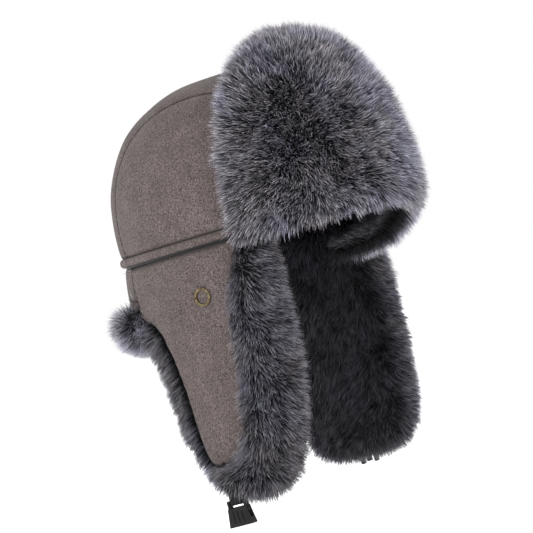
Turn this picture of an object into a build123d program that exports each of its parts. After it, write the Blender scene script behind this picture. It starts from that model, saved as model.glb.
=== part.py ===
from build123d import *
import math
import os

# Trapper hat, millimetres. +Z up, the wearer faces -Y, the wearer's right is -X.
# The origin is the middle of the head opening, in the plane of the seam between crown and flaps.

# Crown: an oval of four arcs, its height, how much its side leans in, and the dome's radius.
CROWN_HALF_WIDTH = 90.0
CROWN_HALF_DEPTH = 108.0
CROWN_END_RADIUS = 80.0
CROWN_HEIGHT = 115.0
CROWN_LEAN = 8.0
DOME_RADIUS = 66.0

# Cloth layers, from the outside in. Neighbouring layers keep a hair's gap.
SUEDE = 1.2
WADDING = 4.0
LINING = 1.0
SWEATBAND = 0.8
LAYER_GAP = 0.1

# Welt round the base of the crown, and the tape inside it.
BAND_HEIGHT = 6.0
BAND_PROUD = 0.8
SWEATBAND_HEIGHT = 28.0

# Centre strip: half width at the base, and how much narrower it gets with height.
STRIP_HALF_WIDTH = 60.0
STRIP_TAPER = 6.3

# Visor: rear edge at the base, its lean, clearance to the crown, and the depth of its pile.
VISOR_GAP = 2.2
VISOR_REAR = -37.0
VISOR_LEAN = 4.0
VISOR_BASE = 0.4
VISOR_PILE = 11.5
VISOR_PILE_BASE = -6.0
VISOR_PILE_FRONT = -56.0

# Skirt, from which the ear flaps and the neck flap are cut: it flares towards its hem.
SKIRT_TOP = -0.6
SKIRT_DEPTH = 200.0
SKIRT_LEAN = 3.6
PELT = 14.5
ROLL_PROUD = 4.0
ROLL_TOP = -14.0
ROLL_REAR = 14.0
FLAP_CLEARANCE = 0.5

# Radial cut between the ear flaps and the neck flap.
CUT_X = 62.0
CUT_Y = 78.0
CUT_TURN = 12.7
CUT_GAP = 1.0

NECK_SUEDE_DEPTH = 42.0
NECK_FUR_DEPTH = 56.0
NECK_ROLL_DEPTH = 44.0
NECK_ROLL_PROUD = 10.0

# Brass eyelet in each ear flap.
EYELET_Y = 9.0
EYELET_Z = -35.0
EYELET_OUTER = 6.8
EYELET_INNER = 4.7
EYELET_FLANGE = 1.0
EYELET_BARREL = 5.2
WASHER_OUTER = 6.2
WASHER_THICKNESS = 0.5
WASHER_BACK = 0.3

# Chin strap: 10 mm webbing and a side release buckle.
WEB_WIDTH = 10.0
WEB_PLY = 0.95
STRAP_X = 98.8
STRAP_Y = 24.0
STRAP_TOP = -153.6
STRAP_NECK = 12.0
SOCKET_BAR_Z = -178.5
PLUG_BAR_Z = -165.0
BAR_RADIUS = 1.1
BAR_PLAY = 0.15
BUCKLE_THICKNESS = 7.0
BUCKLE_TOP_WIDTH = 14.6
BUCKLE_BASE_WIDTH = 19.0
CHEEK_THICKNESS = 1.6
CHEEK_RISE = 1.6
BAR_TO_BODY = 3.6
SOCKET_BODY = 13.6
SOCKET_CAVITY_WIDTH = 14.6
SOCKET_CAVITY_THICKNESS = 4.6
SOCKET_CAVITY_DEPTH = 11.0
WINDOW_HEIGHT = 5.0
WINDOW_RISE = 4.5
RIB_SPACING = 3.6
RIB_DEPTH = 0.5
PLUG_BODY = 5.6
TONGUE_WIDTH = 3.0
TONGUE_LENGTH = 11.0
TONGUE_THICKNESS = 3.0
PRONG_Y = 5.6
PRONG_WIDTH = 2.0
PRONG_LENGTH = 12.0
PRONG_THICKNESS = 4.0
PRONG_GAP = 0.3

FAR = 300.0  # larger than the hat, for cutting tools

# Radius that lets the oval's side arcs run smoothly into its end arcs.
END_OFFSET = CROWN_HALF_DEPTH - CROWN_END_RADIUS
SIDE_RADIUS = (CROWN_HALF_WIDTH**2 + END_OFFSET**2 - CROWN_END_RADIUS**2) / (
    2 * (CROWN_HALF_WIDTH - CROWN_END_RADIUS)
)

os.makedirs("parts", exist_ok=True)


def save(piece, name):
    """Labels a finished piece and writes its STEP file."""
    piece.label = name
    export_step(piece, f"parts/{name}.step")


def oval(proud):
    """Plan of the crown's base, proud of its outer face: two end arcs and two side arcs."""
    end_radius = CROWN_END_RADIUS + proud
    end_y = END_OFFSET
    side_radius = SIDE_RADIUS + proud
    side_x = SIDE_RADIUS - CROWN_HALF_WIDTH
    reach = (side_x**2 + end_y**2) ** 0.5
    joint = (end_radius * side_x / reach, end_y + end_radius * end_y / reach)
    with BuildSketch() as plan:
        with BuildLine():
            for turn in (1, -1):
                ThreePointArc(
                    (turn * joint[0], turn * joint[1]),
                    (0, turn * (end_y + end_radius)),
                    (-turn * joint[0], turn * joint[1]),
                )
                ThreePointArc(
                    (-turn * joint[0], turn * joint[1]),
                    (turn * (side_x - side_radius), 0),
                    (-turn * joint[0], -turn * joint[1]),
                )
        make_face()
    return plan.sketch


def dome(inset):
    """Solid dome, inset from the outer face of the crown."""
    plan = oval(-inset)
    height = CROWN_HEIGHT - inset
    with BuildPart() as solid:
        add(plan)
        extrude(amount=height, taper=CROWN_LEAN)
        fillet(solid.faces().sort_by(Axis.Z)[-1].edges(), radius=DOME_RADIUS - inset)
    return solid.part


def ring(proud, low, high):
    """Upright plug on the oval, proud of the outer face of the crown's base."""
    plan = oval(proud)
    with BuildPart() as solid:
        with Locations((0, 0, low)):
            add(plan)
        extrude(amount=high - low)
    return solid.part


def skirt(proud):
    """Flared plug below the crown, proud of the skirt's outer face."""
    plan = oval(proud)
    with BuildPart() as solid:
        with Locations((0, 0, SKIRT_TOP)):
            add(plan)
        extrude(amount=-SKIRT_DEPTH, taper=-SKIRT_LEAN)
    return solid.part


def wall(outer, inner):
    """Layer of the skirt between two plugs."""
    with BuildPart() as solid:
        add(outer)
        add(inner, mode=Mode.SUBTRACT)
    return solid.part


def side_prism(outline):
    """Prism of a side-view outline, on the wearer's right."""
    with BuildPart() as solid:
        add(outline)
        extrude(amount=FAR, dir=(-1, 0, 0))
    return solid.part


# Depth of each layer's inner face below the outer face.
suede_in = SUEDE
wadding_out = suede_in + LAYER_GAP
wadding_in = wadding_out + WADDING
lining_out = wadding_in + LAYER_GAP
lining_in = lining_out + LINING
sweatband_out = lining_in + LAYER_GAP
sweatband_in = sweatband_out + SWEATBAND

# ---------------------------------------------------------------- crown

crown_outer = dome(0)
crown_suede_inner = dome(suede_in)
crown_wadding_outer = dome(wadding_out)
crown_wadding_inner = dome(wadding_in)
crown_lining_outer = dome(lining_out)
crown_lining_inner = dome(lining_in)
above_band = Plane.XY.offset(BAND_HEIGHT + LAYER_GAP)
strip_plane_right = Plane(
    origin=(-STRIP_HALF_WIDTH, 0, 0), z_dir=Vector(-1, 0, 0).rotate(Axis.Y, STRIP_TAPER)
)
strip_plane_left = Plane(
    origin=(STRIP_HALF_WIDTH, 0, 0), z_dir=Vector(1, 0, 0).rotate(Axis.Y, -STRIP_TAPER)
)

with BuildPart() as crown_centre_strip:
    add(crown_outer)
    add(crown_suede_inner, mode=Mode.SUBTRACT)
    split(bisect_by=above_band, keep=Keep.TOP)
    split(bisect_by=strip_plane_right.offset(-LAYER_GAP), keep=Keep.BOTTOM)
    split(bisect_by=strip_plane_left.offset(-LAYER_GAP), keep=Keep.BOTTOM)
save(crown_centre_strip.part, "crown_centre_strip")

with BuildPart() as crown_side_right:
    add(crown_outer)
    add(crown_suede_inner, mode=Mode.SUBTRACT)
    split(bisect_by=above_band, keep=Keep.TOP)
    split(bisect_by=strip_plane_right, keep=Keep.TOP)
save(crown_side_right.part, "crown_side_right")

with BuildPart() as crown_side_left:
    add(crown_side_right.part)
    mirror(about=Plane.YZ, mode=Mode.REPLACE)
save(crown_side_left.part, "crown_side_left")

with BuildPart() as crown_band:
    add(ring(BAND_PROUD, 0, BAND_HEIGHT))
    add(ring(-suede_in, 0, BAND_HEIGHT), mode=Mode.SUBTRACT)
save(crown_band.part, "crown_band")

with BuildPart() as crown_wadding:
    add(crown_wadding_outer)
    add(crown_wadding_inner, mode=Mode.SUBTRACT)
save(crown_wadding.part, "crown_wadding")

with BuildPart() as crown_lining:
    add(crown_lining_outer)
    add(crown_lining_inner, mode=Mode.SUBTRACT)
save(crown_lining.part, "crown_lining")

with BuildPart() as sweatband:
    add(dome(sweatband_out))
    add(dome(sweatband_in), mode=Mode.SUBTRACT)
    split(bisect_by=Plane.XY.offset(SWEATBAND_HEIGHT), keep=Keep.BOTTOM)
save(sweatband.part, "sweatband")

# ---------------------------------------------------------------- visor

visor_back = -VISOR_GAP
visor_suede_out = visor_back - SUEDE
visor_wadding_back = visor_suede_out - LAYER_GAP
visor_wadding_out = visor_wadding_back - WADDING
visor_pelt_back = visor_wadding_out - LAYER_GAP
visor_pelt_out = visor_pelt_back - VISOR_PILE
visor_rear_plane = Plane(
    origin=(0, VISOR_REAR, 0), z_dir=Vector(0, 1, 0).rotate(Axis.X, VISOR_LEAN)
)
visor_base_plane = Plane.XY.offset(VISOR_BASE)


def visor_layer(outer, inner):
    """Layer of the visor between two offsets from the crown."""
    with BuildPart() as solid:
        add(outer)
        add(inner, mode=Mode.SUBTRACT)
        split(bisect_by=visor_base_plane, keep=Keep.TOP)
        split(bisect_by=visor_rear_plane, keep=Keep.BOTTOM)
    return solid.part


visor_suede_dome = dome(visor_suede_out)
visor_back_dome = dome(visor_back)
visor_wadding_dome = dome(visor_wadding_out)
visor_wadding_back_dome = dome(visor_wadding_back)
visor_pelt_dome = dome(visor_pelt_out)
visor_pelt_back_dome = dome(visor_pelt_back)
visor_pelt_ring = wall(
    ring(-visor_pelt_out, VISOR_PILE_BASE, VISOR_BASE),
    ring(-visor_pelt_back, VISOR_PILE_BASE, VISOR_BASE),
)
visor_backing_solid = visor_layer(visor_suede_dome, visor_back_dome)
visor_wadding_solid = visor_layer(visor_wadding_dome, visor_wadding_back_dome)
visor_pelt_solid = visor_layer(visor_pelt_dome, visor_pelt_back_dome)

with BuildPart() as visor_backing:
    add(visor_backing_solid)
save(visor_backing.part, "visor_backing")

with BuildPart() as visor_wadding:
    add(visor_wadding_solid)
save(visor_wadding.part, "visor_wadding")

with BuildPart() as visor_pile_below:
    add(visor_pelt_ring)
    split(bisect_by=Plane.XZ.offset(-VISOR_PILE_FRONT), keep=Keep.TOP)

with BuildPart() as visor_fur:
    add(visor_pelt_solid)
    add(visor_pile_below.part)
save(visor_fur.part, "visor_fur")

# ---------------------------------------------------------------- ear flaps

shell_wall = wall(skirt(0), skirt(-suede_in))
wadding_wall = wall(skirt(-wadding_out), skirt(-wadding_in))
pelt_out = wadding_in + LAYER_GAP
pelt_in = pelt_out + PELT
pelt_wall = wall(skirt(-pelt_out), skirt(-pelt_in))
roll_wall = wall(skirt(ROLL_PROUD), skirt(-pelt_out))
neck_roll_wall = wall(skirt(NECK_ROLL_PROUD), skirt(-pelt_out))

cut_plane_right = Plane(
    origin=(-CUT_X, CUT_Y, 0), z_dir=Vector(0, 1, 0).rotate(Axis.Z, -CUT_TURN)
)
cut_plane_left = Plane(
    origin=(CUT_X, CUT_Y, 0), z_dir=Vector(0, 1, 0).rotate(Axis.Z, CUT_TURN)
)

# Side view of the suede tongue of an ear flap, and of the larger pelt behind it.
with BuildSketch(Plane.YZ) as suede_outline:
    with BuildLine():
        suede_edge = FilletPolyline(
            (-29, 0),
            (-10, -70),
            (3, -153),
            (44, -152),
            (47, -100),
            (60, -45),
            (112, -42),
            radius=(60, 16, 18, 60, 26),
        )
        Polyline(suede_edge @ 1, (112, 0), suede_edge @ 0)
    make_face()

with BuildSketch(Plane.YZ) as pelt_outline:
    with BuildLine():
        pelt_edge = FilletPolyline(
            (-46, 0),
            (-47, -70),
            (-29, -176),
            (4, -186),
            (50, -164),
            (56, -105),
            (70, -58),
            (112, -56),
            radius=(60, 24, 36, 20, 60, 30),
        )
        Polyline(pelt_edge @ 1, (112, 0), pelt_edge @ 0)
    make_face()

with BuildSketch(Plane.YZ) as roll_outline:
    add(pelt_outline.sketch_local)
    offset(suede_outline.sketch_local, amount=FLAP_CLEARANCE, mode=Mode.SUBTRACT)
    with Locations((ROLL_REAR + FAR / 2, 0)):
        Rectangle(FAR, 2 * FAR, mode=Mode.SUBTRACT)
    with Locations((0, ROLL_TOP + FAR / 2)):
        Rectangle(2 * FAR, FAR, mode=Mode.SUBTRACT)

suede_prism = side_prism(suede_outline.sketch)
pelt_prism = side_prism(pelt_outline.sketch)
roll_prism = side_prism(roll_outline.sketch)

with BuildPart() as ear_roll:
    add(roll_wall)
    add(roll_prism, mode=Mode.INTERSECT)

# The eyelet sits square to the side arc, which leans out with the skirt.
eyelet_radius = SIDE_RADIUS + (SKIRT_TOP - EYELET_Z) * math.tan(math.radians(SKIRT_LEAN))
eyelet_turn = math.asin(EYELET_Y / eyelet_radius)
eyelet_x = SIDE_RADIUS - CROWN_HALF_WIDTH - eyelet_radius * math.cos(eyelet_turn)
eyelet_plane = Plane(
    origin=(eyelet_x, EYELET_Y, EYELET_Z),
    x_dir=(0, 1, 0),
    z_dir=(-math.cos(eyelet_turn), math.sin(eyelet_turn), math.tan(math.radians(SKIRT_LEAN))),
)

with BuildPart() as ear_shell_right:
    add(shell_wall)
    add(suede_prism, mode=Mode.INTERSECT)
    split(bisect_by=cut_plane_right.offset(-CUT_GAP / 2), keep=Keep.BOTTOM)
    with BuildSketch(eyelet_plane):
        Circle(EYELET_BARREL + LAYER_GAP)
    extrude(amount=2 * SUEDE, both=True, mode=Mode.SUBTRACT)
save(ear_shell_right.part, "ear_shell_right")

with BuildPart() as ear_wadding_right:
    add(wadding_wall)
    add(suede_prism, mode=Mode.INTERSECT)
    split(bisect_by=cut_plane_right.offset(-CUT_GAP / 2), keep=Keep.BOTTOM)
    with BuildSketch(eyelet_plane.offset(-WADDING)):
        Circle(WASHER_OUTER + LAYER_GAP)
    extrude(amount=2 * WADDING, mode=Mode.SUBTRACT)
    with BuildSketch(eyelet_plane.offset(-SUEDE - 2 * WASHER_THICKNESS)):
        Circle(WASHER_OUTER - LAYER_GAP)
    extrude(amount=-WADDING + 2 * WASHER_THICKNESS)
save(ear_wadding_right.part, "ear_wadding_right")

with BuildPart() as ear_fur_right:
    add(pelt_wall)
    add(pelt_prism, mode=Mode.INTERSECT)
    split(bisect_by=cut_plane_right.offset(-CUT_GAP / 2), keep=Keep.BOTTOM)
    add(ear_roll.part)
save(ear_fur_right.part, "ear_fur_right")

with BuildPart() as eyelet_right:
    with BuildSketch(eyelet_plane):
        Circle(EYELET_OUTER)
        Circle(EYELET_INNER, mode=Mode.SUBTRACT)
    extrude(amount=EYELET_FLANGE)
    fillet(eyelet_right.faces().sort_by(Axis.X)[0].edges(), radius=EYELET_FLANGE * 0.6)
    with BuildSketch(eyelet_plane):
        Circle(EYELET_BARREL)
        Circle(EYELET_INNER, mode=Mode.SUBTRACT)
    extrude(amount=-SUEDE - WASHER_BACK - WASHER_THICKNESS)
save(eyelet_right.part, "eyelet_right")

with BuildPart() as eyelet_washer_right:
    with BuildSketch(eyelet_plane.offset(-SUEDE - WASHER_BACK)):
        Circle(WASHER_OUTER)
        Circle(EYELET_BARREL + LAYER_GAP, mode=Mode.SUBTRACT)
    extrude(amount=-WASHER_THICKNESS)
save(eyelet_washer_right.part, "eyelet_washer_right")

for right, name in (
    (ear_shell_right, "ear_shell_left"),
    (ear_wadding_right, "ear_wadding_left"),
    (ear_fur_right, "ear_fur_left"),
    (eyelet_right, "eyelet_left"),
    (eyelet_washer_right, "eyelet_washer_left"),
):
    with BuildPart() as left_twin:
        add(right.part)
        mirror(about=Plane.YZ, mode=Mode.REPLACE)
    save(left_twin.part, name)

# ---------------------------------------------------------------- neck flap


def neck_layer(layer, low, high):
    """Part of a skirt layer behind both radial cuts, between two heights."""
    with BuildPart() as solid:
        add(layer)
        split(bisect_by=cut_plane_right.offset(CUT_GAP / 2), keep=Keep.TOP)
        split(bisect_by=cut_plane_left.offset(CUT_GAP / 2), keep=Keep.TOP)
        split(bisect_by=Plane.XY.offset(low), keep=Keep.TOP)
        split(bisect_by=Plane.XY.offset(high), keep=Keep.BOTTOM)
    return solid.part


neck_shell_solid = neck_layer(shell_wall, -NECK_SUEDE_DEPTH, FAR)
neck_wadding_solid = neck_layer(wadding_wall, -NECK_SUEDE_DEPTH, FAR)
neck_pelt_solid = neck_layer(pelt_wall, -NECK_FUR_DEPTH, FAR)
neck_roll_solid = neck_layer(neck_roll_wall, -NECK_FUR_DEPTH, -NECK_ROLL_DEPTH)

with BuildPart() as neck_shell:
    add(neck_shell_solid)
save(neck_shell.part, "neck_shell")

with BuildPart() as neck_wadding:
    add(neck_wadding_solid)
save(neck_wadding.part, "neck_wadding")

with BuildPart() as neck_fur:
    add(neck_pelt_solid)
    add(neck_roll_solid)
save(neck_fur.part, "neck_fur")

# ---------------------------------------------------------------- chin strap


def strap_loop(side, bar_z):
    """Webbing doubled round a buckle's bar and sewn together above it."""
    loop_radius = BAR_RADIUS + BAR_PLAY + WEB_PLY
    eye_radius = BAR_RADIUS + BAR_PLAY
    neck_z = max(STRAP_TOP - STRAP_NECK, bar_z + 2 * loop_radius)
    with BuildPart() as solid:
        with BuildSketch(Plane.XZ.offset(-STRAP_Y)):
            with Locations((side * STRAP_X, STRAP_TOP - WEB_PLY)):
                Circle(WEB_PLY)
            with Locations((side * STRAP_X, bar_z)):
                Circle(loop_radius)
            make_hull()
            with BuildSketch(mode=Mode.PRIVATE) as eye:
                with Locations((side * STRAP_X, neck_z)):
                    Circle(BAR_PLAY)
                with Locations((side * STRAP_X, bar_z)):
                    Circle(eye_radius)
                make_hull()
            add(eye.sketch, mode=Mode.SUBTRACT)
        extrude(amount=WEB_WIDTH / 2, both=True)
    return solid.part


def buckle_frame(side, bar_z):
    """Cheeks and bar at the top of either buckle half."""
    body_top = bar_z - BAR_TO_BODY
    cheek_height = BAR_TO_BODY + CHEEK_RISE
    cheek_y = (BUCKLE_TOP_WIDTH - CHEEK_THICKNESS) / 2
    with BuildPart() as solid:
        with Locations((side * STRAP_X, STRAP_Y, body_top + cheek_height / 2)):
            with Locations((0, -cheek_y, 0), (0, cheek_y, 0)):
                Box(BUCKLE_THICKNESS * 0.7, CHEEK_THICKNESS, cheek_height)
        with Locations((side * STRAP_X, STRAP_Y, bar_z)):
            Cylinder(BAR_RADIUS, BUCKLE_TOP_WIDTH - CHEEK_THICKNESS, rotation=(90, 0, 0))
    return solid.part


chin_strap_right_solid = strap_loop(-1, SOCKET_BAR_Z)
chin_strap_left_solid = strap_loop(1, PLUG_BAR_Z)
socket_frame = buckle_frame(-1, SOCKET_BAR_Z)
plug_frame = buckle_frame(1, PLUG_BAR_Z)

with BuildPart() as chin_strap_right:
    add(chin_strap_right_solid)
save(chin_strap_right.part, "chin_strap_right")

with BuildPart() as chin_strap_left:
    add(chin_strap_left_solid)
save(chin_strap_left.part, "chin_strap_left")

socket_top = SOCKET_BAR_Z - BAR_TO_BODY
socket_mouth = socket_top - SOCKET_BODY
with BuildPart() as buckle_socket:
    with BuildSketch(Plane.YZ.offset(-STRAP_X)):
        Polygon(
            (STRAP_Y - BUCKLE_TOP_WIDTH / 2, socket_top),
            (STRAP_Y + BUCKLE_TOP_WIDTH / 2, socket_top),
            (STRAP_Y + BUCKLE_BASE_WIDTH / 2, socket_mouth),
            (STRAP_Y - BUCKLE_BASE_WIDTH / 2, socket_mouth),
            align=None,
        )
    extrude(amount=BUCKLE_THICKNESS / 2, both=True)
    fillet(buckle_socket.edges().filter_by(Axis.Y), radius=0.9)
    with Locations((-STRAP_X, STRAP_Y, socket_mouth + SOCKET_CAVITY_DEPTH / 2)):
        Box(
            SOCKET_CAVITY_THICKNESS,
            SOCKET_CAVITY_WIDTH,
            SOCKET_CAVITY_DEPTH,
            mode=Mode.SUBTRACT,
        )
    with Locations((-STRAP_X, STRAP_Y, socket_mouth + WINDOW_RISE + WINDOW_HEIGHT / 2)):
        Box(
            SOCKET_CAVITY_THICKNESS * 0.8,
            2 * BUCKLE_BASE_WIDTH,
            WINDOW_HEIGHT,
            mode=Mode.SUBTRACT,
        )
    for rib in (-1, 0, 1):
        rib_y = STRAP_Y + rib * RIB_SPACING
        for face in (-1, 1):
            rib_x = -STRAP_X + face * BUCKLE_THICKNESS / 2
            with Locations((rib_x, rib_y, (socket_top + socket_mouth) / 2)):
                Box(2 * RIB_DEPTH, RIB_DEPTH * 2, SOCKET_BODY * 0.6, mode=Mode.SUBTRACT)
    add(socket_frame)
save(buckle_socket.part, "buckle_socket")

plug_top = PLUG_BAR_Z - BAR_TO_BODY
plug_base = plug_top - PLUG_BODY
with BuildPart() as buckle_plug:
    with BuildSketch(Plane.YZ.offset(STRAP_X)):
        Polygon(
            (STRAP_Y - BUCKLE_TOP_WIDTH / 2, plug_top),
            (STRAP_Y + BUCKLE_TOP_WIDTH / 2, plug_top),
            (STRAP_Y + BUCKLE_BASE_WIDTH / 2, plug_base),
            (STRAP_Y - BUCKLE_BASE_WIDTH / 2, plug_base),
            align=None,
        )
    extrude(amount=BUCKLE_THICKNESS / 2, both=True)
    fillet(buckle_plug.edges().filter_by(Axis.Y), radius=0.9)
    with Locations((STRAP_X, STRAP_Y, plug_base - TONGUE_LENGTH / 2)):
        Box(TONGUE_THICKNESS, TONGUE_WIDTH, TONGUE_LENGTH)
    add(plug_frame)
save(buckle_plug.part, "buckle_plug")


def prong(side):
    """Sprung arm of the plug with its catch on the outside. side is -1 in front, 1 behind."""
    root_z = plug_base - PRONG_GAP
    inner = STRAP_Y + side * (PRONG_Y - PRONG_WIDTH / 2)
    outer = STRAP_Y + side * (PRONG_Y + PRONG_WIDTH / 2)
    catch = outer + side * PRONG_WIDTH * 0.6
    with BuildPart() as solid:
        with BuildSketch(Plane.YZ.offset(STRAP_X)):
            Polygon(
                (inner, root_z),
                (outer, root_z),
                (outer, root_z - PRONG_LENGTH * 0.55),
                (catch, root_z - PRONG_LENGTH * 0.6),
                (outer, root_z - PRONG_LENGTH),
                (inner, root_z - PRONG_LENGTH),
                align=None,
            )
        extrude(amount=PRONG_THICKNESS / 2, both=True)
    return solid.part


prong_front_solid = prong(-1)
prong_rear_solid = prong(1)

with BuildPart() as plug_prong_front:
    add(prong_front_solid)
save(plug_prong_front.part, "plug_prong_front")

with BuildPart() as plug_prong_rear:
    add(prong_rear_solid)
save(plug_prong_rear.part, "plug_prong_rear")
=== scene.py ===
import math

import bpy
import numpy as np
from mathutils import Matrix, Vector
from mathutils.geometry import delaunay_2d_cdt


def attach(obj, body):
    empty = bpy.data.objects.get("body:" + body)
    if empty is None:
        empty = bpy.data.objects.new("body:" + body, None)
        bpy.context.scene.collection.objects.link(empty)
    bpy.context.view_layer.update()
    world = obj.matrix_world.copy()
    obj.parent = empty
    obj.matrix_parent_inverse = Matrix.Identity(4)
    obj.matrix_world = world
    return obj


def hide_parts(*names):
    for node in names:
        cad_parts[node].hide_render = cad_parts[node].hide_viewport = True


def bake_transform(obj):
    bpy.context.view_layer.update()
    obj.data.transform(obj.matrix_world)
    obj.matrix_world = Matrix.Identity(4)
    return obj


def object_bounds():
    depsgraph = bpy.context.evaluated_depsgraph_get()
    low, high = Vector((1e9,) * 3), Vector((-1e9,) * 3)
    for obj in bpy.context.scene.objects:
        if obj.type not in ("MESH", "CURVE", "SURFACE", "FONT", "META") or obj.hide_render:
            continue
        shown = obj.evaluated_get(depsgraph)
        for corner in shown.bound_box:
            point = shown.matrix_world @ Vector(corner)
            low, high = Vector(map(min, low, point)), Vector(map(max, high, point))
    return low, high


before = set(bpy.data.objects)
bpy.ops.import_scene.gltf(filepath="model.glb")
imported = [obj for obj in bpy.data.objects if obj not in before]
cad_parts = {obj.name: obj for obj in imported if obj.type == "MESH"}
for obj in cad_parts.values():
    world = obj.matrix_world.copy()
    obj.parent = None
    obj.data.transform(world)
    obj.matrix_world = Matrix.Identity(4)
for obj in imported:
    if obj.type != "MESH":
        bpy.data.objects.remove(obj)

cad_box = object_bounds()
MM = 0.001

# Sizes of the hat are in millimetres. The crown is a superellipse that stands for the CAD
# dome.
HALF_WIDTH = 90.0
HALF_DEPTH = 108.0
HEIGHT = 113.5
POWER = 2.5
BAND = 6.0
STRIP = 60.0
STRIP_TAPER = 0.11
CLOTH_DEPTH = 1.2

# The skirt flares from the top seam. Radial cuts part the ear flaps from the neck flap.
FLARE = math.tan(math.radians(3.6))
TOP_SEAM = 0.8
CUT_X = 62.0
CUT_Y = 78.0
HEM = 42.0
EYELET_Y = 9.0
EYELET_Z = -35.0

# The visor's rear edge leans back with height, and its lower edge droops on the wearer's left.
VISOR_REAR = 31.0
VISOR_LEAN = 0.100
VISOR_DROOP = 30.0

# The left ear flap hangs a little back at the front, and lower at its rear corner.
LEFT_TUCK = 2.0
LEFT_CORNER = 12.0

HAIR = 14.0
STRAP_X = 98.8
STRAP_Y = 24.0
STRAP_HALF_WIDTH = 5.0


# ------------------------------------------------------------------ mesh helpers


def word_for(side):
    """Name of a side: -1 is the wearer's right, 1 the left."""
    return "right" if side < 0 else "left"


def build(name, points, faces, material, attributes=None):
    """Mesh object from points in millimetres, with named values on its points."""
    data = bpy.data.meshes.new(name)
    data.from_pydata((np.asarray(points) * MM).tolist(), [], [list(map(int, f)) for f in faces])
    for key, values in (attributes or {}).items():
        layer = data.attributes.new(key, "FLOAT", "POINT")
        layer.data.foreach_set("value", np.asarray(values, dtype=np.float32))
    data.polygons.foreach_set("use_smooth", [True] * len(data.polygons))
    data.materials.append(material)
    data.update()
    piece = bpy.data.objects.new(name, data)
    bpy.context.scene.collection.objects.link(piece)
    return piece


def grid_faces(rows, columns, start=0, closed=False, flip=False):
    """Quads of a grid of points stored row by row. closed joins the last column to the first."""
    faces = []
    last = columns if closed else columns - 1
    for row in range(rows - 1):
        for column in range(last):
            after = (column + 1) % columns
            a = start + row * columns + column
            b = start + row * columns + after
            c = start + (row + 1) * columns + after
            d = start + (row + 1) * columns + column
            faces.append((d, c, b, a) if flip else (a, b, c, d))
    return faces


def wave_field(points, wavelength, seed):
    """Smooth seeded vector field between about -1 and 1."""
    rng = np.random.default_rng(seed)
    field = np.zeros((len(points), 3))
    for _ in range(6):
        heading = rng.normal(size=3)
        heading *= 2 * math.pi / (wavelength * np.linalg.norm(heading))
        push = rng.normal(size=3)
        push /= np.linalg.norm(push)
        field += np.sin(points @ heading + rng.uniform(0, 6.28))[:, None] * push
    return field / 2.5


def unit(vectors):
    """The same directions at length 1."""
    return vectors / np.maximum(np.linalg.norm(vectors, axis=1), 1e-9)[:, None]


def length_along(line):
    """Distance along a line of points, at each of them."""
    return np.concatenate([[0], np.cumsum(np.linalg.norm(np.diff(line, axis=0), axis=1))])


def smooth_line(corners, step, closed=False):
    """Curve that rounds off the corners, with its points at even steps."""
    line = np.asarray(corners, float)
    for _ in range(3):
        after = np.roll(line, -1, axis=0) if closed else line[1:]
        before = line if closed else line[:-1]
        cut = np.stack([before * 0.75 + after * 0.25, before * 0.25 + after * 0.75], 1)
        cut = cut.reshape(-1, line.shape[1])
        line = cut if closed else np.vstack([line[:1], cut, line[-1:]])
    if closed:
        line = np.vstack([line, line[:1]])
    along = length_along(line)
    count = max(3, int(along[-1] / step))
    even = np.linspace(0, along[-1], count, endpoint=not closed)
    return np.stack([np.interp(even, along, line[:, k]) for k in range(line.shape[1])], 1)


def edge_distance(points, line):
    """Distance of each flat point to the nearest stretch of a line of points."""
    best = np.full(len(points), 1e9)
    for a, b in zip(line[:-1], line[1:]):
        along = b - a
        share = np.clip(((points - a) @ along) / max(along @ along, 1e-9), 0, 1)
        best = np.minimum(best, np.linalg.norm(points - a - share[:, None] * along, axis=1))
    return best


def inside(points, loop):
    """Which flat points lie inside a closed loop."""
    hit = np.zeros(len(points), bool)
    for a, b in zip(loop, np.roll(loop, -1, axis=0)):
        crosses = (a[1] > points[:, 1]) != (b[1] > points[:, 1])
        rise = b[1] - a[1] if abs(b[1] - a[1]) > 1e-9 else 1e-9
        where = a[0] + (points[:, 1] - a[1]) * (b[0] - a[0]) / rise
        hit ^= crosses & (points[:, 0] < where)
    return hit


def fill_outline(loop, step):
    """Triangles that fill a flat loop. Returns points, faces and which points are on the loop."""
    low, high = loop.min(0), loop.max(0)
    ys = np.arange(low[0], high[0], step)
    zs = np.arange(low[1], high[1], step)
    lattice = np.array([(y + (k % 2) * step / 2, z) for k, z in enumerate(zs) for y in ys])
    closed_loop = np.vstack([loop, loop[:1]])
    keep = inside(lattice, loop) & (edge_distance(lattice, closed_loop) > step * 0.6)
    points = np.vstack([loop, lattice[keep]])
    edges = [(k, (k + 1) % len(loop)) for k in range(len(loop))]
    flat = [Vector(p) for p in points]
    result = delaunay_2d_cdt(flat, edges, [list(range(len(loop)))], 1, 1e-5)
    filled = np.array([list(p) for p in result[0]])
    rim = edge_distance(filled, closed_loop) < 1e-3
    return filled, [tuple(f) for f in result[2]], rim


def rounded(distance, radius):
    """Height of a rounded edge, 0 at the edge and 1 from radius inwards."""
    return np.sqrt(1 - (1 - np.clip(distance / radius, 0, 1)) ** 2)


# ------------------------------------------------------------------ crown and skirt surfaces


def crown_share(z):
    """Width of the crown at height z as a share of its base."""
    return np.maximum(1 - np.clip(z / HEIGHT, 0, 1) ** POWER, 0) ** (1 / POWER)


def crown_normal(points):
    """Outward directions on the crown, whose points may stand a little off it."""
    x, y, z = points[:, 0], points[:, 1], np.maximum(points[:, 2], 0)
    plan = np.maximum(np.sqrt((x / HALF_WIDTH) ** 2 + (y / HALF_DEPTH) ** 2), 1e-6)
    bend = plan ** (POWER - 2)
    return unit(
        np.stack(
            [
                x / HALF_WIDTH**2 * bend,
                y / HALF_DEPTH**2 * bend,
                (z / HEIGHT) ** (POWER - 1) / HEIGHT,
            ],
            1,
        )
    )


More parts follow.
